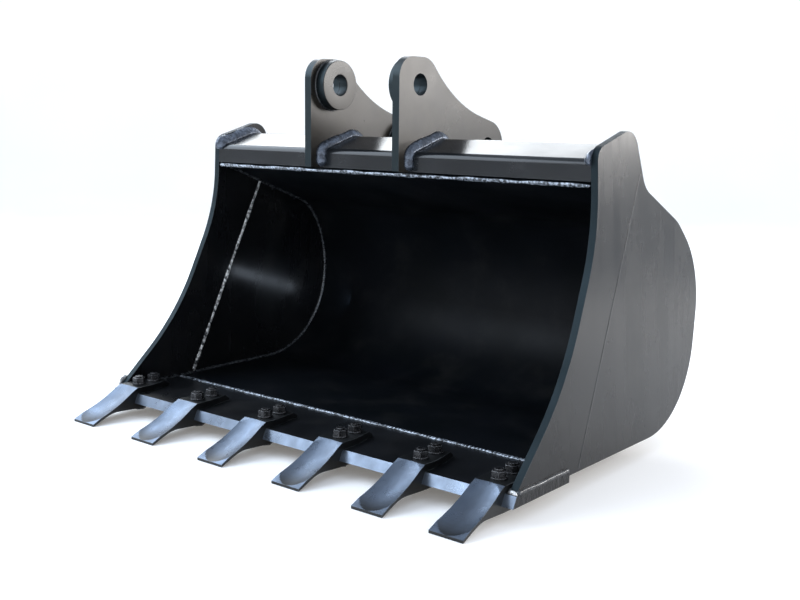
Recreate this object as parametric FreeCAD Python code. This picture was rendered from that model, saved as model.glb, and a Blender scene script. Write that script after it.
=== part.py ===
"""Excavator digging bucket, 1200 mm wide, welded from plate, with six bolt-on forked teeth.

Axes: +X across the bucket, +Y from the mouth to the back, +Z up.
Origin: centre of the arm pin bore, midway between the two ears. The pair of ears stands a little
to the left of the bucket's middle, so the bucket's middle plane is at a small positive X.
Widths are written from the bucket's middle plane, and profile points as (y, z) from the lip
corner, where the front edge of a side plate meets the lip. A third number in a profile point is
the radius of that corner.
"""
import FreeCAD, Part
import math
import os

from FreeCAD import Vector

os.makedirs("parts", exist_ok=True)

# Driving dimensions, in millimetres
HALF_WIDTH = 600.0          # outer face of a side plate at the lip
SIDE_LEAN = 0.05            # each side leans in by this much per millimetre of height
CUTTER_THICK = 16.0         # front half of each side
SIDE_THICK = 12.0           # rear half of each side
WRAPPER_THICK = 10.0
BEAM_THICK = 10.0
FLOOR_Z = -8.0              # inside of the floor, level with the top of the lip blade
BLADE_THICK = 22.0
BLADE_FRONT = -14.0
BLADE_BEVEL = 11.0
BLADE_REAR = 175.0
BLADE_OVERHANG = 6.0        # the lip blade stands out past each side plate

PIN_Y = 340.0               # arm pin, seen from the lip corner
PIN_Z = 750.0
LINK_Y = 612.0              # link pin, seen from the lip corner
LINK_Z = 605.0
PIN_BORE = 25.0             # radius of both pin bores
BOSS_RADIUS = 59.0
BOSS_THICK = 26.0
EAR_THICK = 20.0
EAR_OUTER = 146.0           # outer face of each ear, from the middle of the pair
EAR_SHIFT = -60.0           # the pair stands to the left of the bucket's middle plane
DIAPHRAGM_THICK = 12.0

TOOTH_PLACES = (-546.0, -322.0, -90.0, 140.0, 358.0, 546.0)
TOOTH_ROOT_HALF = 34.0
TOOTH_TIP_HALF = 39.0
TOOTH_TIP_Y = -150.0
TOOTH_TIP_Z = -57.0
LEG_TOP = 7.0               # top of the upper leg
LEG_END = 98.0
LEG_BOTTOM = FLOOR_Z - BLADE_THICK - 15.0
DISH_RADIUS = 160.0         # hollow of the tooth face, seen across the tooth
DISH_SWEEP = 210.0          # and along it, so that it runs out at both ends
DISH_DEPTH = 8.0
DISH_MIDDLE = 76.0          # deepest place, from the tip along the face

BOLT_ROWS = (16.0, 62.0)    # bolt centres behind the lip corner
BOLT_RADIUS = 9.0
BOLT_HOLE = 10.0
NUT_ACROSS_FLATS = 27.0
NUT_HEIGHT = 13.0
HEAD_HEIGHT = 11.5
WASHER_RADIUS = 17.0
WASHER_THICK = 3.0
BOLT_PROUD = 3.5            # thread that stands out of each nut

REACH = 900.0               # longer than any profile, for cutting blocks

# Inside of the floor and back in one curve, from the lip blade round to the top beam
WRAPPER_LINE = [
    (BLADE_REAR, FLOOR_Z),
    (691, FLOOR_Z, 220),
    (746, 303, 285),
    (645, 431, 115),
    (310, 553),
]

# Outline of a whole side, both halves together
SIDE_OUTLINE = [
    (-8, FLOOR_Z),
    (174, 163, 620),
    (300, 441, 430),
    (300, 619, 32),
    (455, 664, 44),
    (503, 533, 60),
    (664, 451, 120),
    (784, 340, 200),
    (712, -19, 232),
    (176, -19),
    (176, FLOOR_Z),
]
SEAM_FOOT_Y = 220.0         # where the seam between the two halves meets the floor
SEAM_SLOPE = 2.194          # rise of the seam for each millimetre back

# Outer face of the top beam: front flange, sloping top, short rear flange, then the rear plate
BEAM_FRONT_LINE = [(300, 554), (300, 597, 16), (426, 635, 36), (476, 549)]
BEAM_REAR_LINE = [(476, 549), (632, 452)]
BEAM_SECTION = BEAM_FRONT_LINE + BEAM_REAR_LINE[1:] + [(600, 440), (330, 548)]

EAR_OUTLINE = [
    (300, 554),
    (265, 554, 5),
    (265, 812, 48),
    (375, 812, 60),
    (472, 708, 370),
    (678, 655, 66),
    (678, 520, 120),
    (716, 330),
    (560, 330),
    (330, 540),
]


def at(x, y, z):
    """A point given from the middle plane and the lip corner, moved to the arm pin origin."""
    return Vector(x - EAR_SHIFT, y - PIN_Y, z - PIN_Z)


def rounded(points, closed, x=0.0):
    """Edges through profile points; a third number rounds that corner with a tangent arc."""
    flat = [Vector(0, p[0], p[1]) for p in points]
    stops = []
    for i, corner in enumerate(flat):
        radius = points[i][2] if len(points[i]) > 2 else 0
        if not radius:
            stops.append((corner, None, corner))
            continue
        to_last = (flat[i - 1] - corner).normalize()
        to_next = (flat[(i + 1) % len(flat)] - corner).normalize()
        half = to_last.getAngle(to_next) / 2
        middle = (to_last + to_next).normalize()
        run = radius / math.tan(half)
        crown = corner + middle * (radius / math.sin(half) - radius)
        stops.append((corner + to_last * run, crown, corner + to_next * run))
    edges = []
    count = len(stops)
    for i, (start, crown, end) in enumerate(stops):
        if crown is not None:
            edges.append(Part.Arc(*[at(x, p.y, p.z) for p in (start, crown, end)]).toShape())
        if not closed and i == count - 1:
            break
        follower = stops[(i + 1) % count][0]
        if (follower - end).Length > 0.01:
            edges.append(Part.LineSegment(at(x, end.y, end.z), at(x, follower.y, follower.z)).toShape())
    return edges


def block(points, x0, x1):
    """A closed profile pushed along X from x0 to x1."""
    wire = Part.Wire(rounded(points, True, x0))
    return Part.Face(wire).extrude(Vector(x1 - x0, 0, 0))


def offset_line(points, distance):
    """The same open line moved sideways, to the right of its direction of travel if positive."""
    moved = []
    flat = [Vector(0, p[0], p[1]) for p in points]
    for i, corner in enumerate(flat):
        before = (corner - flat[i - 1]).normalize() if i else (flat[1] - corner).normalize()
        after = (flat[i + 1] - corner).normalize() if i < len(flat) - 1 else before
        right = Vector(0, before.z, -before.y)
        right_after = Vector(0, after.z, -after.y)
        mitre = (right + right_after).normalize()
        place = corner + mitre * (distance / mitre.dot(right))
        turn = before.y * after.z - before.z * after.y
        if len(points[i]) > 2:
            moved.append((place.y, place.z, points[i][2] + (distance if turn > 0 else -distance)))
        else:
            moved.append((place.y, place.z))
    return moved


def strip(points, thickness, x0, x1):
    """A bent plate: an open line and the same line one thickness to its right, pushed along X."""
    inner = rounded(points, False, x0)
    outer = rounded(offset_line(points, thickness), False, x0)
    ends = [
        Part.LineSegment(inner[-1].lastVertex(True).Point, outer[-1].lastVertex(True).Point).toShape(),
        Part.LineSegment(inner[0].firstVertex(True).Point, outer[0].firstVertex(True).Point).toShape(),
    ]
    wire = Part.Wire(Part.__sortEdges__(inner + outer + ends))
    return Part.Face(wire).extrude(Vector(x1 - x0, 0, 0))


def half_width(z, inset):
    """Distance from the middle plane to a side's outer face at height z, less an inset."""
    return HALF_WIDTH - SIDE_LEAN * z - inset


def leaning_wall(side, thickness):
    """The slab between a side's outer face and a parallel face one thickness in."""
    low, high = -100.0, 750.0
    corners = [
        (half_width(low, 0), low), (half_width(high, 0), high),
        (half_width(high, thickness), high), (half_width(low, thickness), low),
    ]
    ring = [at(side * x, -REACH, z) for x, z in corners]
    return Part.Face(Part.makePolygon(ring + ring[:1])).extrude(Vector(0, 2 * REACH, 0))


def between_sides(inset):
    """Everything between the two sides' inner faces."""
    low, high = -100.0, 750.0
    corners = [
        (half_width(low, inset), low), (half_width(high, inset), high),
        (-half_width(high, inset), high), (-half_width(low, inset), low),
    ]
    ring = [at(x, -REACH, z) for x, z in corners]
    return Part.Face(Part.makePolygon(ring + ring[:1])).extrude(Vector(0, 2 * REACH, 0))


def seam_y(z):
    return SEAM_FOOT_Y + (z - FLOOR_Z) / SEAM_SLOPE


def side_halves(side):
    """The thick front cutter and the thinner rear plate of one side, welded along the seam."""
    low, high = -60.0, 700.0
    front_region = block([(-90, low), (seam_y(low), low), (seam_y(high), high), (-90, high)],
                         -REACH, REACH)
    outline = block(SIDE_OUTLINE, -REACH, REACH)
    front = outline.common(front_region).common(leaning_wall(side, CUTTER_THICK))
    rear = outline.cut(front_region).common(leaning_wall(side, SIDE_THICK))
    return front, rear


def lip_blade():
    top, bottom = FLOOR_Z, FLOOR_Z - BLADE_THICK
    profile = [(BLADE_FRONT, top), (BLADE_FRONT - BLADE_BEVEL, bottom),
               (BLADE_REAR, bottom), (BLADE_REAR, top)]
    reach = HALF_WIDTH + BLADE_OVERHANG
    blade = block(profile, -reach, reach)
    for x in TOOTH_PLACES:
        for y in BOLT_ROWS:
            blade = blade.cut(upright(x, y, bottom - 5, BOLT_HOLE, BLADE_THICK + 10))
    return blade


def upright(x, y, z, radius, height):
    return Part.makeCylinder(radius, height, at(x, y, z), Vector(0, 0, 1))


def hexagon(x, y, z, across, height):
    """A hex prism with its flats across X, chamfered at the corners of its top."""
    corner = across / math.sqrt(3)
    ring = [at(x + corner * math.cos(math.radians(60 * i)),
               y + corner * math.sin(math.radians(60 * i)), z) for i in range(6)]
    prism = Part.Face(Part.makePolygon(ring + ring[:1])).extrude(Vector(0, 0, height))
    cone = Part.makeCone(corner + height, corner - 1.2, height, at(x, y, z), Vector(0, 0, 1))
    return prism.common(cone)


def tooth(x):
    """One forked tooth: a dished face, an upper leg and a lower leg that straddle the blade."""
    blade_top, blade_bottom = FLOOR_Z, FLOOR_Z - BLADE_THICK
    profile = [
        (TOOTH_TIP_Y, TOOTH_TIP_Z), (TOOTH_TIP_Y, TOOTH_TIP_Z - 6), (-92, -40, 90),
        (-20, LEG_BOTTOM, 60), (84, LEG_BOTTOM), (LEG_END, LEG_BOTTOM + 8), (LEG_END, blade_bottom),
        (BLADE_FRONT - BLADE_BEVEL, blade_bottom), (BLADE_FRONT, blade_top),
        (LEG_END, blade_top), (LEG_END, blade_top + 5), (84, LEG_TOP), (-14, LEG_TOP, 5),
    ]
    body = block(profile, x - TOOTH_TIP_HALF, x + TOOTH_TIP_HALF)
    plan = [
        (-TOOTH_TIP_HALF, TOOTH_TIP_Y - 1), (TOOTH_TIP_HALF, TOOTH_TIP_Y - 1),
        (TOOTH_ROOT_HALF, -20), (TOOTH_ROOT_HALF, 30), (19, LEG_END + 1),
        (-19, LEG_END + 1), (-TOOTH_ROOT_HALF, 30), (-TOOTH_ROOT_HALF, -20),
    ]
    ring = [at(x + px, py, -200) for px, py in plan]
    body = body.common(Part.Face(Part.makePolygon(ring + ring[:1])).extrude(Vector(0, 0, 400)))
    slope = math.atan2(LEG_TOP - TOOTH_TIP_Z, -14 - TOOTH_TIP_Y)
    along = Vector(0, math.cos(slope), math.sin(slope))
    normal = Vector(0, -math.sin(slope), math.cos(slope))
    deepest = at(x, TOOTH_TIP_Y, TOOTH_TIP_Z) + along * DISH_MIDDLE
    centre = deepest + normal * (DISH_SWEEP + DISH_RADIUS - DISH_DEPTH)
    body = body.cut(Part.makeTorus(DISH_SWEEP, DISH_RADIUS, centre, Vector(1, 0, 0)))
    for y in BOLT_ROWS:
        body = body.cut(upright(x, y, LEG_BOTTOM - 5, BOLT_HOLE, 90))
    return body


def ear(side, seats):
    """One ear plate, cut to sit on the plates in seats, with both pin bores."""
    x0 = EAR_SHIFT + side * EAR_OUTER
    x1 = EAR_SHIFT + side * (EAR_OUTER - EAR_THICK)
    plate = block(EAR_OUTLINE, min(x0, x1), max(x0, x1)).cut(bucket_core())
    for seat in seats:
        plate = plate.cut(seat)
    for y, z in ((PIN_Y, PIN_Z), (LINK_Y, LINK_Z)):
        plate = plate.cut(across(x0, y, z, PIN_BORE, -side * EAR_THICK))
    return largest(plate)


def across(x, y, z, radius, length):
    return Part.makeCylinder(radius, abs(length), at(x, y, z), Vector(math.copysign(1, length), 0, 0))


def boss(side, y, z):
    """A ring welded to the inner face of an ear round a pin bore."""
    start = EAR_SHIFT + side * (EAR_OUTER - EAR_THICK)
    ring = across(start, y, z, BOSS_RADIUS, -side * BOSS_THICK)
    return ring.cut(across(start, y, z, PIN_BORE, -side * BOSS_THICK))


def wrapper_outside():
    """Outer face of the floor and back, from the floor to the top beam."""
    return offset_line(WRAPPER_LINE, WRAPPER_THICK)


def bucket_core():
    """A filled block of the bucket's middle, bounded by the beam's and the wrapper's outer faces."""
    filled = block(BEAM_SECTION, -300, 300)
    back = block([(330, 545)] + wrapper_outside()[3:0:-1] + [(300, -18)], -300, 300)
    return filled.fuse(back)


def largest(shape):
    return max(shape.Solids, key=lambda solid: solid.Volume)


def group(shapes):
    return Part.makeCompound(shapes)


def fasteners():
    """Bolts, nuts and washers of all the teeth."""
    bolts, nuts, washers = [], [], []
    washer_top = LEG_TOP + WASHER_THICK
    for x in TOOTH_PLACES:
        for y in BOLT_ROWS:
            head = hexagon(x, y, LEG_BOTTOM - HEAD_HEIGHT, NUT_ACROSS_FLATS, HEAD_HEIGHT)
            shank = upright(x, y, LEG_BOTTOM, BOLT_RADIUS,
                            washer_top + NUT_HEIGHT + BOLT_PROUD - LEG_BOTTOM)
            bolts.append(head.fuse(shank).removeSplitter())
            washers.append(upright(x, y, LEG_TOP, WASHER_RADIUS, WASHER_THICK)
                           .cut(upright(x, y, LEG_TOP, BOLT_RADIUS, WASHER_THICK)))
            nuts.append(hexagon(x, y, washer_top, NUT_ACROSS_FLATS, NUT_HEIGHT)
                        .cut(upright(x, y, washer_top, BOLT_RADIUS, NUT_HEIGHT)))
    return bolts, nuts, washers


def build():
    nodes = {}
    cutter_left, side_left = side_halves(-1)
    cutter_right, side_right = side_halves(1)
    nodes["side_cutter_left"] = cutter_left
    nodes["side_cutter_right"] = cutter_right
    nodes["side_plate_left"] = side_left
    nodes["side_plate_right"] = side_right
    nodes["cutting_edge"] = lip_blade()

    room = between_sides(SIDE_THICK)
    cutters = cutter_left.fuse(cutter_right)
    wrapper = strip(WRAPPER_LINE, WRAPPER_THICK, -REACH, REACH).common(room).cut(cutters)
    front = strip(BEAM_FRONT_LINE, BEAM_THICK, -REACH, REACH).common(room).cut(cutters)
    rear = strip(BEAM_REAR_LINE, BEAM_THICK, -REACH, REACH).common(room).cut(cutters)
    rear = largest(rear.cut(wrapper).cut(front))
    nodes["wrapper_plate"] = largest(wrapper.cut(front))
    nodes["beam_front_plate"] = front
    nodes["beam_rear_plate"] = rear

    beam_core = block(BEAM_SECTION, -DIAPHRAGM_THICK / 2, DIAPHRAGM_THICK / 2)
    for name, side in (("left", -1), ("right", 1)):
        under_ear = EAR_SHIFT + side * (EAR_OUTER - EAR_THICK / 2)
        web = beam_core.translated(Vector(under_ear, 0, 0)).cut(front).cut(rear).cut(wrapper)
        nodes["beam_diaphragm_" + name] = largest(web)

    for name, side in (("left", -1), ("right", 1)):
        nodes["ear_" + name] = ear(side, (front, rear, wrapper))
        nodes["arm_pin_boss_" + name] = boss(side, PIN_Y, PIN_Z)
        nodes["link_pin_boss_" + name] = boss(side, LINK_Y, LINK_Z)

    for i, x in enumerate(TOOTH_PLACES):
        nodes["tooth_%d" % (i + 1)] = tooth(x)
    bolts, nuts, washers = fasteners()
    nodes["tooth_bolts"] = group(bolts)
    nodes["tooth_nuts"] = group(nuts)
    nodes["tooth_washers"] = group(washers)
    return nodes


for node, shape in build().items():
    shape.exportStep("parts/" + node + ".step")
    box = shape.BoundBox
    print(node, len(shape.Solids), shape.isValid(), round(shape.Volume / 1000, 1), "cm3",
          [round(v) for v in (box.XMin, box.XMax, box.YMin, box.YMax, box.ZMin, box.ZMax)])
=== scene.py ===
import math
import random

import bpy
import bmesh
from mathutils import Matrix, Vector
from mathutils.bvhtree import BVHTree


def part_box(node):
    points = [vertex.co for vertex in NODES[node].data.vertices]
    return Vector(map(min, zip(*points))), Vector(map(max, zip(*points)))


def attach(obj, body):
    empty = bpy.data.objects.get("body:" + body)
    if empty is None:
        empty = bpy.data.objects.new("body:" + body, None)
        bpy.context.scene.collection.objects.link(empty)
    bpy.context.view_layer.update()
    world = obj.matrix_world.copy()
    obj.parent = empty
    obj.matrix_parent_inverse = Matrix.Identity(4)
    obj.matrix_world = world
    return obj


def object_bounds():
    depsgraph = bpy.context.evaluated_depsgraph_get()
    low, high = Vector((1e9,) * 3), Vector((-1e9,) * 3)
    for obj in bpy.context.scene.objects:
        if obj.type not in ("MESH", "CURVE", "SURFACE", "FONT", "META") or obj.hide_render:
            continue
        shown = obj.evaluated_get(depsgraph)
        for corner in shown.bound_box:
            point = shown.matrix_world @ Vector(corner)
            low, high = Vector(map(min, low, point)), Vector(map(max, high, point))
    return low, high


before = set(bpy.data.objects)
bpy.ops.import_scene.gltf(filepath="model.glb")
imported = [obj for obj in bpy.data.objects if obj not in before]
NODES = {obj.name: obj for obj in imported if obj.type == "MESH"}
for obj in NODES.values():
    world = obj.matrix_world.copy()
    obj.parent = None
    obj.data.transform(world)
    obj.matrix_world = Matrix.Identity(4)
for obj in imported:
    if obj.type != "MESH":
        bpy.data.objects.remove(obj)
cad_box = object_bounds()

MM = 0.001
CORNER_GAP = 0.02 * MM      # doubled corners of a CAD mesh lie closer than this
random.seed(7)


# ---------------------------------------------------------------- node helpers

class Shader:
    """A material's node tree, with short calls for the nodes that the paints share."""

    def __init__(self, name):
        self.material = bpy.data.materials.new(name)
        self.material.use_nodes = True
        self.tree = self.material.node_tree
        self.surface = self.tree.nodes["Principled BSDF"]
        self.place = self.tree.nodes.new("ShaderNodeTexCoord").outputs["Object"]

    def node(self, kind, **settings):
        made = self.tree.nodes.new("ShaderNode" + kind)
        for key, value in settings.items():
            setattr(made, key, value)
        return made

    def link(self, source, target):
        self.tree.links.new(source, target)

    def feed(self, target, value):
        if hasattr(value, "links"):
            self.link(value, target)
        else:
            target.default_value = value

    def stretched(self, scale):
        mapping = self.node("Mapping")
        mapping.inputs["Scale"].default_value = scale
        self.link(self.place, mapping.inputs["Vector"])
        return mapping.outputs["Vector"]

    def noise(self, scale, detail=3.0, rough=0.55, stretch=None):
        made = self.node("TexNoise")
        self.link(self.stretched(stretch) if stretch else self.place, made.inputs["Vector"])
        made.inputs["Scale"].default_value = scale
        made.inputs["Detail"].default_value = detail
        made.inputs["Roughness"].default_value = rough
        return made.outputs["Fac"]

    def ramp(self, value, low, high, start=0.0, end=1.0):
        made = self.node("MapRange", interpolation_type="SMOOTHSTEP")
        self.link(value, made.inputs["Value"])
        for name, number in (("From Min", low), ("From Max", high), ("To Min", start), ("To Max", end)):
            made.inputs[name].default_value = number
        return made.outputs["Result"]

    def math(self, operation, a, b=0.0):
        made = self.node("Math", operation=operation)
        self.feed(made.inputs[0], a)
        self.feed(made.inputs[1], b)
        return made.outputs[0]

    def mix(self, amount, a, b):
        made = self.node("Mix", data_type="RGBA")
        self.feed(made.inputs[0], amount)
        self.feed(made.inputs[6], a)
        self.feed(made.inputs[7], b)
        return made.outputs[2]

    def height(self):
        split = self.node("SeparateXYZ")
        self.link(self.place, split.inputs["Vector"])
        return split.outputs["Z"]

    def edges(self, radius):
        """1 near sharp edges, 0 on open faces."""
        bevel = self.node("Bevel", samples=4)
        bevel.inputs["Radius"].default_value = radius
        true_normal = self.node("NewGeometry").outputs["Normal"]
        dot = self.node("VectorMath", operation="DOT_PRODUCT")
        self.link(bevel.outputs["Normal"], dot.inputs[0])
        self.link(true_normal, dot.inputs[1])
        return self.ramp(dot.outputs["Value"], 0.995, 0.86)

    def bump(self, layers):
        """Stacks (height, distance, strength) layers into the surface normal."""
        last = None
        for height, distance, strength in layers:
            made = self.node("Bump")
            made.inputs["Distance"].default_value = distance
            made.inputs["Strength"].default_value = strength
            self.link(height, made.inputs["Height"])
            if last:
                self.link(last, made.inputs["Normal"])
            last = made.outputs["Normal"]
        self.link(last, self.surface.inputs["Normal"])


DUST = (0.16, 0.15, 0.135, 1)
WORN_EDGE = (0.20, 0.215, 0.23, 1)
# Near-black edge colour: painted shade, which keeps cut edges dark whatever they would reflect
CUT_EDGE_PAINTED_SHADE = (0.016, 0.026, 0.031, 1)


def paint(name, dark, light, rough, specular, wear=0.5, dust=0.06, streaks=0.0, edge_rough_and_shade=0.0,
          face=None, face_rough=0.3, rough_ends=False):
    """Gloss enamel on plate: orange peel, faint mottling, dust and worn edges.

    The edge roughness argument roughens the flame-cut edges of a plate that stands across X, and darkens
    them with painted shade: near-black metal that holds back their reflections.
    face is the colour of scuff-worn unpainted metal where a surface faces forwards and up, tinted blue as a
    painted sky reflection.
    rough_ends roughens faces across X, as a torch cut leaves them.
    """
    s = Shader(name)
    colour = s.mix(s.ramp(s.noise(5.0, 4.0), 0.3, 0.7), (*dark, 1), (*light, 1))
    dust_mask = s.math("MULTIPLY", s.ramp(s.noise(9.0, 6.0, 0.7), 0.45, 0.85), dust)
    colour = s.mix(dust_mask, colour, DUST)
    worn = s.math("MULTIPLY", s.edges(2.0 * MM), s.ramp(s.noise(35.0, 4.0), 0.35, 0.6))
    colour = s.mix(s.math("MULTIPLY", worn, wear), colour, WORN_EDGE)
    roughness = s.math("ADD", s.ramp(s.noise(7.0, 5.0, 0.6), 0.3, 0.7, rough - 0.03, rough + 0.04),
                       s.math("MULTIPLY", dust_mask, 0.5))
    if streaks:
        bands = s.ramp(s.noise(22.0, 3.0, stretch=(1, 1, 0.05)), 0.35, 0.65, -streaks, streaks)
        roughness = s.math("ADD", roughness, bands)
    facing = s.node("SeparateXYZ")
    s.link(s.node("NewGeometry").outputs["Normal"], facing.inputs["Vector"])
    # Flame-cut edges: rougher, and painted shade as near-black metal that holds back their reflections
    if edge_rough_and_shade:
        cut_edge = s.ramp(s.math("ABSOLUTE", facing.outputs["X"]), 0.45, 0.2)
        roughness = s.math("ADD", roughness, s.math("MULTIPLY", cut_edge, edge_rough_and_shade))
        cut_edge_painted_shade = s.math("MULTIPLY", cut_edge, 0.8)
        colour = s.mix(cut_edge_painted_shade, colour, CUT_EDGE_PAINTED_SHADE)
        s.link(cut_edge_painted_shade, s.surface.inputs["Metallic"])
    # Scuff-worn metal on faces forwards and up; its blue tint is a painted sky reflection
    if face:
        front = s.ramp(facing.outputs["Y"], -0.22, -0.36)
        front = s.math("MULTIPLY", front, s.ramp(facing.outputs["Z"], 0.12, 0.25))
        scuff = s.ramp(s.noise(26.0, 5.0, 0.65, stretch=(1, 0.3, 0.6)), 0.3, 0.75, 0.72, 1.0)
        shade = tuple(0.75 * c for c in face)
        bare_metal_and_sky_tint = s.mix(s.ramp(s.noise(12.0, 4.0), 0.3, 0.7), (*shade, 1), (*face, 1))
        scuffed_and_sky_tinted = s.math("MULTIPLY", front, scuff)
        colour = s.mix(scuffed_and_sky_tinted, colour, bare_metal_and_sky_tint)
        s.link(scuffed_and_sky_tinted, s.surface.inputs["Metallic"])
        grain = s.ramp(s.noise(40.0, 4.0), 0.3, 0.7, face_rough - 0.05, face_rough + 0.08)
        roughness = s.mix(front, roughness, grain)
    s.link(colour, s.surface.inputs["Base Color"])
    s.link(roughness, s.surface.inputs["Roughness"])
    s.surface.inputs["Specular IOR Level"].default_value = specular
    layers = [(s.noise(2.2, 1.0), 2.0 * MM, 0.05), (s.noise(190.0, 2.0), 0.35 * MM, 0.12),
              (s.noise(60.0, 3.0), 0.6 * MM, 0.04)]
    if rough_ends:
        cut_end = s.ramp(s.math("ABSOLUTE", facing.outputs["X"]), 0.6, 0.9)
        ragged = s.math("MULTIPLY", s.noise(70.0, 5.0, 0.7, stretch=(1, 1, 0.35)), cut_end)
        layers.append((ragged, 9.0 * MM, 0.8))
    s.bump(layers)
    return s.material


def weld_finish(name, dark, bright, metal, rough, patches=80.0, fade=None):
    """Painted weld metal: noise patches of the dark colour and the bright one, with fine spatter grain.
    Where the bright colour is light, its patches are painted highlights on the bead's ripples.

    fade = (top, foot) leaves the bead dark above the height top and bright below foot, so its painted
    highlights fade out upwards.
    """
    s = Shader(name)
    shine = s.ramp(s.noise(patches, 3.0), 0.38, 0.66)
    if fade:
        shine = s.math("MULTIPLY", shine, s.ramp(s.height(), *fade))
    body = s.mix(shine, (*dark, 1), (*bright, 1))
    s.link(body, s.surface.inputs["Base Color"])
    s.link(s.ramp(s.noise(150.0, 3.0), 0.3, 0.7, rough - 0.08, rough + 0.1), s.surface.inputs["Roughness"])
    s.surface.inputs["Specular IOR Level"].default_value = 0.8
    s.surface.inputs["Metallic"].default_value = metal
    s.bump([(s.noise(420.0, 3.0), 0.8 * MM, 0.35), (s.noise(160.0, 2.0), 1.5 * MM, 0.4)])
    return s.material


def steel_finish(name):
    """Oiled dark bolt steel, bright where spanners touch."""
    s = Shader(name)
    body = s.mix(s.ramp(s.noise(90.0, 4.0), 0.35, 0.65), (0.012, 0.0125, 0.015, 1), (0.04, 0.04, 0.042, 1))
    body = s.mix(s.math("MULTIPLY", s.edges(1.2 * MM), 0.7), body, (0.5, 0.5, 0.52, 1))
    s.link(body, s.surface.inputs["Base Color"])
    s.link(s.ramp(s.noise(140.0, 3.0), 0.3, 0.7, 0.2, 0.4), s.surface.inputs["Roughness"])
    s.surface.inputs["Metallic"].default_value = 0.6
    s.bump([(s.noise(300.0, 3.0), 0.4 * MM, 0.3)])
    return s.material


def floor_finish():
    s = Shader("studio_floor")
    body = s.mix(s.ramp(s.noise(1.3, 3.0), 0.3, 0.7), (0.88, 0.88, 0.88, 1), (0.91, 0.91, 0.91, 1))
    s.link(body, s.surface.inputs["Base Color"])
    s.link(s.ramp(s.noise(3.0, 3.0), 0.3, 0.7, 0.75, 0.9), s.surface.inputs["Roughness"])
    s.surface.inputs["Specular IOR Level"].default_value = 0.2
    s.surface.inputs["Emission Color"].default_value = (1.0, 0.95, 0.88, 1)
    s.surface.inputs["Emission Strength"].default_value = 0.16
    return s.material


# ---------------------------------------------------------------- mesh helpers

def add_mesh(name, verts, faces, material):
    mesh = bpy.data.meshes.new(name)
    mesh.from_pydata([tuple(v) for v in verts], [], faces)
    mesh.validate()
    mesh.materials.append(material)
    for polygon in mesh.polygons:
        polygon.use_smooth = True
    piece = bpy.data.objects.new(name, mesh)
    bpy.context.scene.collection.objects.link(piece)
    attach(piece, "root")
    return piece


def welded_copy(node):
    """A CAD node's mesh with its doubled corners joined, for measuring."""
    made = bmesh.new()
    made.from_mesh(NODES[node].data)
    bmesh.ops.remove_doubles(made, verts=made.verts, dist=CORNER_GAP)
    return made


def surface_of(nodes):
    joined = bmesh.new()
    for node in nodes:
        joined.from_mesh(NODES[node].data)
    tree = BVHTree.FromBMesh(joined)
    joined.free()
    return tree


def chained(samples, gap):
    """Orders loose samples into runs: each run goes on to the nearest sample that is left."""
    runs = []
    left = list(samples)
    while left:
        run = [left.pop(0)]
        for front in (False, True):
            while left:
                end = run[0] if front else run[-1]
                best = min(range(len(left)), key=lambda i: (left[i][0] - end[0]).length_squared)
                if (left[best][0] - end[0]).length > gap:
                    break
                follower = left.pop(best)
                run.insert(0 if front else len(run), follower)
        runs.append(run)
    return runs


def seams(node, others, keep, step=4 * MM, near=0.6 * MM):
    """Where sharp edges of a CAD node lie on its neighbours: runs of (point, out, up).

    out points from the corner along the neighbour, up along the node's own visible face.
    keep(point, out) says whether a sample is wanted.
    """
    mesh = welded_copy(node)
    mesh.normal_update()
    tree = surface_of(others)
    samples = []
    for edge in mesh.edges:
        if len(edge.link_faces) != 2 or edge.calc_face_angle(0) < 0.6:
            continue
        a, b = edge.verts[0].co, edge.verts[1].co
        count = max(1, round((b - a).length / step))
        for i in range(count):
            point = a.lerp(b, (i + 0.5) / count)
            spot, normal, _, distance = tree.find_nearest(point)
            if spot is None or distance > near:
                continue
            seat, out = sorted((f.normal.copy() for f in edge.link_faces), key=lambda n: n.dot(normal))
            if seat.dot(normal) > -0.7 or not keep(point, out):
                continue
            samples.append((point, out, -seat))
    mesh.free()
    return [run for run in chained(samples, 4 * step) if len(run) > 2]


def resampled(run, step):
    """A run at even steps, with its directions carried along."""
    stops = [0.0]
    for before, after in zip(run, run[1:]):
        stops.append(stops[-1] + (after[0] - before[0]).length)
    total = stops[-1]
    count = max(2, round(total / step))
    made, k = [], 0
    for i in range(count + 1):
        want = total * i / count
        while k < len(stops) - 2 and stops[k + 1] < want:
            k += 1
        span = stops[k + 1] - stops[k] or 1.0
        t = (want - stops[k]) / span
        made.append((run[k][0].lerp(run[k + 1][0], t), run[k][1].lerp(run[k + 1][1], t).normalized(),
                     run[k][2].lerp(run[k + 1][2], t).normalized()))
    return made


def within(point):
    """A point kept inside the CAD model's box."""
    return Vector([min(max(point[i], cad_box[0][i]), cad_box[1][i]) for i in range(3)])


WANDER_LENGTHS = (31 * MM, 13.7 * MM)   # over which a bead slowly thickens and thins
TIP = 0.07                  # size of a bead's rounded tip, as a share of its leg
SINK = 0.5 * MM             # how far a bead's toes go into the plates
ROOT = 0.8 * MM             # and its root


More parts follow.
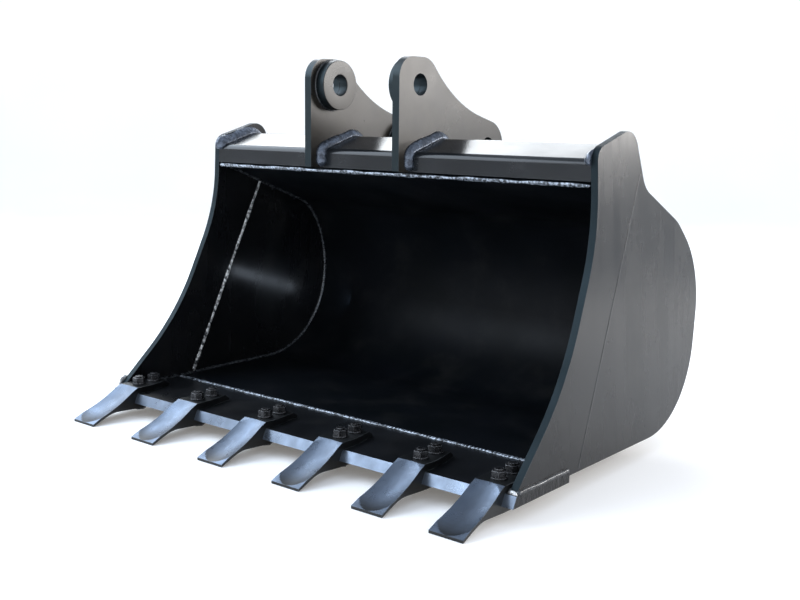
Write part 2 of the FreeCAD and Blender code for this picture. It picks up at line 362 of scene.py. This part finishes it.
def bead(run, leg, pitch=6 * MM, bulge=0.35, wander=0.12, step=1.6 * MM, across=7, ripple=0.075,
         squeeze=1.0, cap=0.0):
    """A rippled weld bead along a run, as verts and faces. Both ends taper to a rounded tip.

    A fillet fills the corner between out and up, and squeeze narrows it along out. With a cap
    height it lies over a flat joint instead, one leg wide each side.
    """
    path = resampled(run, step)
    phase = random.uniform(0, 100)
    verts, faces = [], []
    last = len(path) - 1
    travelled = 0.0
    for i, (corner, out, up) in enumerate(path):
        if i:
            travelled += (corner - path[i - 1][0]).length
        ends = min(i, last - i) * step / (1.1 * leg)
        taper = math.sqrt(max(0.0, 1 - (1 - min(1.0, ends)) ** 2)) * (1 - TIP) + TIP
        long_wave = math.sin(travelled / WANDER_LENGTHS[0] + phase)
        short_wave = math.sin(travelled / WANDER_LENGTHS[1] + phase * 2.3)
        slow = (long_wave + short_wave) / 2
        size = leg * taper * (1 + wander * slow)
        for k in range(across):
            t = k / (across - 1)
            crown = math.sin(math.pi * t)
            wave = (travelled + 0.55 * pitch * crown) / pitch + 0.12 * slow
            swell = (abs(math.sin(math.pi * wave)) - 0.5) * ripple * crown
            if cap:
                side = math.cos(math.pi * t) * size
                rise = (cap * taper + leg * swell) * crown - (SINK if k in (0, across - 1) else 0)
            else:
                angle = t * math.pi / 2
                reach = size * ((1 + bulge * crown) / (math.cos(angle) + math.sin(angle)) + swell)
                side = math.cos(angle) * reach * squeeze - (SINK if k == across - 1 else 0)
                rise = math.sin(angle) * reach - (SINK if k == 0 else 0)
            verts.append(within(corner + out * side + up * rise))
        verts.append(within(corner - (up if cap else out + up) * ROOT))
    ring = across + 1
    for i in range(last):
        for k in range(ring):
            a, b = i * ring + k, i * ring + (k + 1) % ring
            faces.append((a, b, b + ring, a + ring))
    faces.append(tuple(range(ring))[::-1])
    faces.append(tuple(last * ring + k for k in range(ring)))
    return verts, faces


def weld_piece(name, runs, leg, material, slot, **settings):
    verts, faces = [], []
    for run in runs:
        made, around = bead(run, leg, **settings)
        base = len(verts)
        verts += made
        faces += [tuple(base + v for v in face) for face in around]
    if not verts:
        print("no weld", name)
        return
    piece = add_mesh(name, verts, faces, material)
    mesh = bmesh.new()
    mesh.from_mesh(piece.data)
    bmesh.ops.recalc_face_normals(mesh, faces=mesh.faces)
    mesh.to_mesh(piece.data)
    mesh.free()


# ---------------------------------------------------------------- materials

SHELL = paint("shell_paint", (0.004, 0.0045, 0.0055), (0.008, 0.0085, 0.0095), 0.25, 0.30, wear=0.4,
              streaks=0.035, edge_rough_and_shade=0.3)
# The wrapper plate gets a darker, duller copy of the shell paint: painted shade that keeps the inside of the
# bucket dark
INSIDE_PAINTED_SHADE = paint("inside_paint_shaded", (0.002, 0.003, 0.004), (0.004, 0.005, 0.007), 0.42, 0.09, wear=0.2)
BEAM = paint("beam_paint", (0.004, 0.0055, 0.007), (0.009, 0.011, 0.014), 0.2, 0.36, wear=0.3)
# The lip's face colour is scuff-worn metal tinted blue: a painted sky reflection
LIP = paint("lip_paint", (0.004, 0.0045, 0.0055), (0.009, 0.010, 0.012), 0.3, 0.3, wear=0.5,
            face=(0.24, 0.29, 0.37), rough_ends=True)
EAR = paint("ear_paint", (0.008, 0.0075, 0.007), (0.034, 0.029, 0.023), 0.29, 0.38, wear=0.35,
            edge_rough_and_shade=0.1)
# The teeth's face colour is scuff-worn metal tinted blue: a painted sky reflection
TOOTH = paint("tooth_paint", (0.004, 0.0045, 0.005), (0.010, 0.011, 0.012), 0.32, 0.35, wear=0.6,
              face=(0.125, 0.155, 0.205), face_rough=0.3)
# Ear and beam-end welds: their light blue patches are a painted sky reflection
WELD_PAINTED_SKY = weld_finish("weld_bead_painted_sky", (0.05, 0.06, 0.08), (0.13, 0.155, 0.20), 0.6, 0.3)
# Foot welds: their near-white patches are painted highlights
WELD_PAINTED_HIGHLIGHT = weld_finish("weld_bead_painted_highlight", (0.16, 0.165, 0.17), (0.80, 0.81, 0.82), 0.45, 0.34)
# Floor and beam-edge welds: their bluish-white dots are painted glints
WELD_PAINTED_GLINTS = weld_finish("weld_bead_painted_glints", (0.02, 0.024, 0.03), (0.40, 0.45, 0.52), 0.4, 0.34,
                         patches=150.0)
# Inner side seams: their white patches are painted glints, fading out towards the top
WELD_SEAM_PAINTED_GLINTS = weld_finish("weld_bead_seam_painted_glints", (0.03, 0.035, 0.04), (1.0, 1.0, 1.0), 0.0, 0.2, patches=120.0,
                        fade=(-0.05, -0.40))
WELD_DARK = weld_finish("weld_bead_painted", (0.008, 0.009, 0.011), (0.05, 0.055, 0.06), 0.3, 0.26)
STEEL = steel_finish("fastener_steel")

FINISH = {
    "side_cutter": SHELL, "side_plate": SHELL, "wrapper_plate": INSIDE_PAINTED_SHADE, "beam": BEAM,
    "cutting_edge": LIP, "ear": EAR, "arm_pin_boss": EAR, "link_pin_boss": EAR,
    "tooth_bolts": STEEL, "tooth_nuts": STEEL, "tooth_washers": STEEL, "tooth": TOOTH,
}


def dress_nodes():
    """Paint for every CAD node, and softened edges for all but the blade."""
    for name, piece in NODES.items():
        key = max((k for k in FINISH if name.startswith(k)), key=len)
        piece.data.materials.clear()
        piece.data.materials.append(FINISH[key])
        if name == "cutting_edge":
            continue                # flat faces only: rounding its edges creases it between the bolt holes
        join = piece.modifiers.new("join", "WELD")
        join.merge_threshold = CORNER_GAP
        soft = piece.modifiers.new("edges", "BEVEL")
        soft.width = (0.8 if FINISH[key] is STEEL else 1.6) * MM
        soft.segments = 2
        soft.limit_method = "ANGLE"
        soft.angle_limit = math.radians(40)
        soft.harden_normals = False
        for polygon in piece.data.polygons:
            polygon.use_smooth = True
        flat = piece.modifiers.new("faces", "WEIGHTED_NORMAL")
        flat.keep_sharp = True


# ---------------------------------------------------------------- welds

SIDE_LEAN = 0.05            # each side leans in by this much per metre of height
SIDE_THICK = 12 * MM
CUTTER_THICK = 16 * MM
SEAM_SLOPE = 2.194          # rise of the seam in a side for each metre back
FLOOR_GAP = 4 * MM          # the floor's welds stop this short of the sides
BEAM_GAP = 3 * MM           # and the beam's front weld this short
SIGN = {"left": -1.0, "right": 1.0}


def side_x(side, z, inset=0.0):
    """Where a side's outer face is at height z, less an inset."""
    low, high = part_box("side_cutter_" + side)
    edge = high.x if side == "right" else low.x
    return edge - SIGN[side] * (SIDE_LEAN * (z - low.z) + inset)


def ear_welds():
    seats = ("beam_front_plate", "beam_rear_plate", "wrapper_plate")
    for side in ("left", "right"):
        node = "ear_" + side
        runs = seams(node, seats, lambda p, out: abs(out.x) > 0.9)
        weld_piece("weld_ear_" + side, runs, 17 * MM, WELD_PAINTED_SKY, "ear_paint", pitch=8 * MM, bulge=0.25)
        for place in ("arm", "link"):
            boss = place + "_pin_boss_" + side
            low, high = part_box(boss)
            middle = (low + high) / 2
            outer = (high.z - low.z) / 2
            rim = seams(boss, (node,), lambda p, out: (p - middle).yz.length > 0.8 * outer)
            weld_piece("weld_%s_boss_%s" % (place, side), rim, 3 * MM, WELD_DARK, "ear_paint", pitch=5 * MM)


def seam_run(side, inset, z_low, z_high):
    """The straight joint between the two halves of a side, on one of its faces."""
    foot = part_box("side_plate_" + side)[0]
    outward = Vector((SIGN[side], 0, SIDE_LEAN)).normalized() * (-1 if inset else 1)
    along = Vector((-SIGN[side] * SIDE_LEAN, 1 / SEAM_SLOPE, 1)).normalized()
    across = outward.cross(along)
    run = []
    for z in (z_low, (z_low + z_high) / 2, z_high):
        y = foot.y + (z - foot.z) / SEAM_SLOPE
        run.append((Vector((side_x(side, z, inset), y, z)), across, outward))
    return run


def shell_welds():
    sides = ("side_cutter_left", "side_plate_left", "side_cutter_right", "side_plate_right")
    inner = seams("wrapper_plate", sides, lambda p, out: True)
    weld_piece("weld_wrapper_sides", inner, 6 * MM, WELD_DARK, "shell_paint", pitch=6 * MM, ripple=0.12)
    beam_ends = seams("beam_front_plate", sides, lambda p, out: out.y < -0.3 or out.z > 0.3)
    weld_piece("weld_beam_ends", beam_ends, 20 * MM, WELD_PAINTED_SKY, "beam_paint", pitch=8 * MM, bulge=0.25)
    rear_ends = seams("beam_rear_plate", sides, lambda p, out: True)
    weld_piece("weld_beam_rear_ends", rear_ends, 8 * MM, WELD_DARK, "beam_paint")
    rear_foot = seams("beam_rear_plate", ("wrapper_plate",), lambda p, out: True)
    weld_piece("weld_beam_rear_foot", rear_foot, 8 * MM, WELD_DARK, "beam_paint")

    blade_low, blade_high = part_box("cutting_edge")
    floor = blade_high.z
    for side in ("left", "right"):
        plate_low, plate_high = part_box("side_plate_" + side)
        inside = seam_run(side, SIDE_THICK, floor + 4 * MM, plate_high.z - 55 * MM)
        weld_piece("weld_side_seam_" + side, [inside], 7 * MM, WELD_SEAM_PAINTED_GLINTS, "shell_paint", cap=5.5 * MM,
                   pitch=9 * MM, ripple=0.3, wander=0.25)
        outside = seam_run(side, 0.0, plate_low.z + 6 * MM, plate_high.z - 12 * MM)
        weld_piece("weld_side_outer_" + side, [outside], 3 * MM, SHELL, "shell_paint", cap=0.5 * MM,
                   pitch=7 * MM, ripple=0.05)
        feet = seams("side_cutter_" + side, ("cutting_edge",), lambda p, out: abs(out.x) > 0.9)
        # The right foot's two joints come as one run that starts inside, so they share the inner bead
        outer_feet = [r for r in feet if SIGN[side] * r[0][1].x > 0]
        inner_feet = [r for r in feet if SIGN[side] * r[0][1].x < 0]
        weld_piece("weld_foot_outer_" + side, outer_feet, 22 * MM, WELD_PAINTED_HIGHLIGHT, "shell_paint", pitch=10 * MM,
                   squeeze=0.26, ripple=0.4, wander=0.3)
        # Round the front of the plate's foot
        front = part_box("side_cutter_" + side)[0].y
        edge = [side_x(side, floor, inset) for inset in (CUTTER_THICK + 2 * MM, CUTTER_THICK / 2, -3 * MM)]
        toe = [(Vector((x, front, floor)), Vector((0, -1, 0)), Vector((0, 0, 1))) for x in edge]
        weld_piece("weld_foot_front_" + side, [toe], 9 * MM, WELD_PAINTED_HIGHLIGHT, "shell_paint", pitch=6 * MM,
                   ripple=0.25, wander=0.2, squeeze=0.6)
        weld_piece("weld_foot_inner_" + side, inner_feet, 7 * MM, WELD_DARK, "shell_paint")

    # Across the floor, behind the blade, above and below
    left, right = (side_x(side, floor, CUTTER_THICK) for side in ("left", "right"))
    over = [(Vector((x, blade_high.y, floor)), Vector((0, 1, 0)), Vector((0, 0, 1)))
            for x in (left + FLOOR_GAP, 0.0, right - FLOOR_GAP)]
    weld_piece("weld_floor", [over], 5 * MM, WELD_PAINTED_GLINTS, "lip_paint", cap=3.2 * MM, pitch=9 * MM,
               ripple=0.4, wander=0.3)
    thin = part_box("wrapper_plate")[0].z
    under = [(Vector((x, blade_high.y, thin)), Vector((0, 1, 0)), Vector((0, 0, -1)))
             for x in (left + FLOOR_GAP, 0.0, right - FLOOR_GAP)]
    weld_piece("weld_floor_under", [under], 9 * MM, WELD_DARK, "lip_paint", squeeze=0.8)

    # Along the lower front edge of the top beam
    low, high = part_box("beam_front_plate")
    out = Vector((0, 0.7, -0.7)).normalized()
    up = Vector((0, -0.7, -0.7)).normalized()
    ends = [side_x(side, low.z, CUTTER_THICK) for side in ("left", "right")]
    line = [(Vector((x, low.y + 3 * MM, low.z + 2 * MM)), out, up)
            for x in (ends[0] + BEAM_GAP, 0.0, ends[1] - BEAM_GAP)]
    weld_piece("weld_beam_front_edge", [line], 5 * MM, WELD_PAINTED_GLINTS, "beam_paint", cap=3.5 * MM, pitch=10 * MM,
               ripple=0.3, wander=0.35)


dress_nodes()
ear_welds()
shell_welds()


# ---------------------------------------------------------------- stage, light, camera

FLAT_RADIUS = 5.5           # of the studio floor
RIM_RADIUS = 2.6            # of the curve from the floor up into the backdrop


def make_stage():
    """A round pale studio floor whose rim curves up into the backdrop."""
    low = cad_box[0].z
    around = 96
    profile = [(0.3, 0.0), (2.0, 0.0), (FLAT_RADIUS, 0.0)]
    for degrees in range(6, 85, 6):
        rise = math.radians(degrees)
        profile.append((FLAT_RADIUS + RIM_RADIUS * math.sin(rise), RIM_RADIUS * (1 - math.cos(rise))))
    turns = [2 * math.pi * k / around for k in range(around)]
    verts = [(0, 0, low)]
    for radius, height in profile:
        verts += [(radius * math.cos(turn), radius * math.sin(turn), low + height) for turn in turns]
    faces = [(0, 1 + k, 1 + (k + 1) % around) for k in range(around)]
    for i in range(len(profile) - 1):
        for k in range(around):
            a, b = 1 + i * around + k, 1 + i * around + (k + 1) % around
            faces.append((a, a + around, b + around, b))
    mesh = bpy.data.meshes.new("studio_floor")
    mesh.from_pydata(verts, [], faces)
    mesh.materials.append(floor_finish())
    for polygon in mesh.polygons:
        polygon.use_smooth = True
    floor = bpy.data.objects.new("studio_floor", mesh)
    bpy.context.scene.collection.objects.link(floor)


def area_light(name, place, target, width, height, power, colour):
    data = bpy.data.lights.new(name, "AREA")
    data.shape = "RECTANGLE"
    data.size = width
    data.size_y = height
    data.energy = power
    data.color = colour
    lamp = bpy.data.objects.new(name, data)
    lamp.location = place
    lamp.rotation_euler = (Vector(target) - Vector(place)).to_track_quat("-Z", "Y").to_euler()
    bpy.context.scene.collection.objects.link(lamp)
    return lamp


SKY_LOW = (1.0, 1.0, 1.0, 1)
SKY_HIGH = (0.60, 0.70, 0.85, 1)
PANELS = {
    # Big bluish sky panel on the front left, for the teeth and the lip
    "sky_panel": dict(place=(-2.8, -1.6, 1.9), target=(0, -0.4, -0.7), width=5.4, height=2.6, power=215,
                      colour=(0.76, 0.87, 1.0)),
    # Warm card behind on the right, for the right side and the ears
    "side_card": dict(place=(3.2, 2.7, 0.62), target=(0.6, 0.0, 0.0), width=2.8, height=1.3, power=140,
                      colour=(1.0, 0.965, 0.93)),
    # High panel behind on the left, for the top of the beam
    "back_panel": dict(place=(-2.6, 3.0, 1.75), target=(0, 0, -0.1), width=4.2, height=1.3, power=85,
                       colour=(0.93, 0.97, 1.0)),
}
STRIP_Y = 0.26              # the strip inside the mouth, and its distance from the left side
STRIP_Z = -0.57
STRIP_GAP = 0.13
STRIP_TURN = -18            # degrees, so that its band runs down towards the back


def make_sky():
    """White at the horizon, pale blue overhead."""
    world = bpy.data.worlds.new("studio")
    bpy.context.scene.world = world
    world.use_nodes = True
    tree = world.node_tree
    back = tree.nodes["Background"]
    place = tree.nodes.new("ShaderNodeTexCoord")
    split = tree.nodes.new("ShaderNodeSeparateXYZ")
    ramp = tree.nodes.new("ShaderNodeValToRGB")
    tree.links.new(place.outputs["Generated"], split.inputs[0])
    tree.links.new(split.outputs["Z"], ramp.inputs[0])
    tree.links.new(ramp.outputs[0], back.inputs[0])
    ramp.color_ramp.elements[0].color = SKY_LOW
    ramp.color_ramp.elements[1].color = SKY_HIGH
    back.inputs[1].default_value = 1.0


def make_lights():
    for name, settings in PANELS.items():
        area_light(name, **settings)
    # Narrow strip inside the mouth, for the soft band along the left side
    strip = area_light("mouth_strip", (0, 0, 0), (-1, 0, 0), 0.30, 0.025, 0.09, (0.72, 0.84, 1.0))
    strip.visible_camera = False
    strip.rotation_euler.rotate_axis("Z", math.radians(STRIP_TURN))
    strip.location = (side_x("left", STRIP_Z) + STRIP_GAP, STRIP_Y, STRIP_Z)


CAMERA_PLACE = (1.7068, -1.9736, -0.0671)
CAMERA_YAW = 39.26          # degrees to the left of straight back
CAMERA_PITCH = 9.68         # degrees down
CAMERA_ROLL = 0.71
LENS = 48.98                # mm, on a 36 mm sensor


def make_camera():
    yaw, pitch, roll = (math.radians(d) for d in (CAMERA_YAW, CAMERA_PITCH, CAMERA_ROLL))
    forward = Vector((-math.sin(yaw) * math.cos(pitch), math.cos(yaw) * math.cos(pitch), -math.sin(pitch)))
    level = forward.cross(Vector((0, 0, 1))).normalized()
    right = Matrix.Rotation(-roll, 3, forward) @ level
    up = right.cross(forward)
    data = bpy.data.cameras.new("camera")
    data.lens = LENS
    data.sensor_width = 36.0
    camera = bpy.data.objects.new("camera", data)
    turn = Matrix((right, up, -forward)).transposed()
    camera.matrix_world = Matrix.Translation(CAMERA_PLACE) @ turn.to_4x4()
    bpy.context.scene.collection.objects.link(camera)
    bpy.context.scene.camera = camera


make_stage()
make_sky()
make_lights()
make_camera()
bpy.context.scene.view_settings.view_transform = "Standard"
